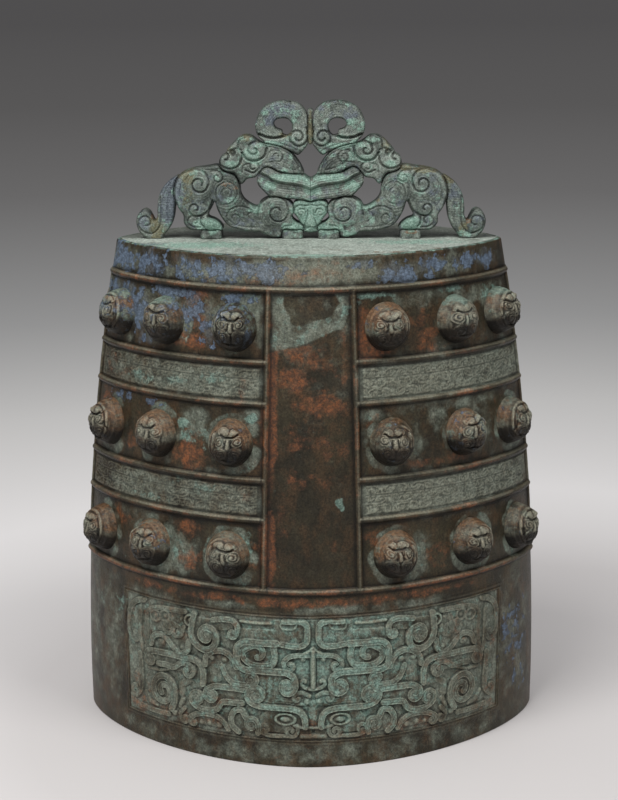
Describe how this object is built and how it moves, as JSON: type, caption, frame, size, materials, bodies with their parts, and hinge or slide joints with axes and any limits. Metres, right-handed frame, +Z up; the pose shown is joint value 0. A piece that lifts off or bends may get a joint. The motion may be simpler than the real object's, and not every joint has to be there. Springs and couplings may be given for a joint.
{
  "type": "bronze bell",
  "caption": "Clapperless bronze bell with a leaf-shaped section and level rim, rows of coiled-beast bosses between raised ribs, and an openwork beast handle to hang it by.",
  "frame": {"origin": "middle of the rim plane, under the bell", "axes": "+Z up from the rim to the handle, -Y towards the front face, +X to the right along the width"},
  "size_m": [0.4924, 0.3758, 0.664],
  "materials": {
    "body": "cast bronze, dark brown with green, blue and red corrosion",
    "bosses": "cast bronze, grey-green and buff corrosion",
    "handle": "cast bronze, matt green corrosion",
    "crests": "cast bronze, blue-grey corrosion",
    "pads": "cast bronze, pale green powdery corrosion"
  },
  "bodies": {
    "root": {"bell_body": "body", "boss_front_left_row1_1": "bosses", "boss_front_left_row1_2": "bosses", "boss_front_left_row1_3": "bosses", "boss_front_right_row1_1": "bosses", "boss_front_right_row1_2": "bosses", "boss_front_right_row1_3": "bosses", "boss_front_left_row2_1": "bosses", "boss_front_left_row2_2": "bosses", "boss_front_left_row2_3": "bosses", "boss_front_right_row2_1": "bosses", "boss_front_right_row2_2": "bosses", "boss_front_right_row2_3": "bosses", "boss_front_left_row3_1": "bosses", "boss_front_left_row3_2": "bosses", "boss_front_left_row3_3": "bosses", "boss_front_right_row3_1": "bosses", "boss_front_right_row3_2": "bosses", "boss_front_right_row3_3": "bosses", "boss_back_left_row1_1": "bosses", "boss_back_left_row1_2": "bosses", "boss_back_left_row1_3": "bosses", "boss_back_right_row1_1": "bosses", "boss_back_right_row1_2": "bosses", "boss_back_right_row1_3": "bosses", "boss_back_left_row2_1": "bosses", "boss_back_left_row2_2": "bosses", "boss_back_left_row2_3": "bosses", "boss_back_right_row2_1": "bosses", "boss_back_right_row2_2": "bosses", "boss_back_right_row2_3": "bosses", "boss_back_left_row3_1": "bosses", "boss_back_left_row3_2": "bosses", "boss_back_left_row3_3": "bosses", "boss_back_right_row3_1": "bosses", "boss_back_right_row3_2": "bosses", "boss_back_right_row3_3": "bosses", "beast_right": "handle", "head_right": "handle", "neck_band_right": "handle", "tail_right": "crests", "crest_scroll_right": "crests", "fore_paw_pad_right": "pads", "hind_paw_pad_right": "pads", "beast_left": "handle", "head_left": "handle", "neck_band_left": "handle", "tail_left": "crests", "crest_scroll_left": "crests", "fore_paw_pad_left": "pads", "hind_paw_pad_left": "pads", "mask": "handle", "crest_bridge": "pads"}
  },
  "joints": []
}
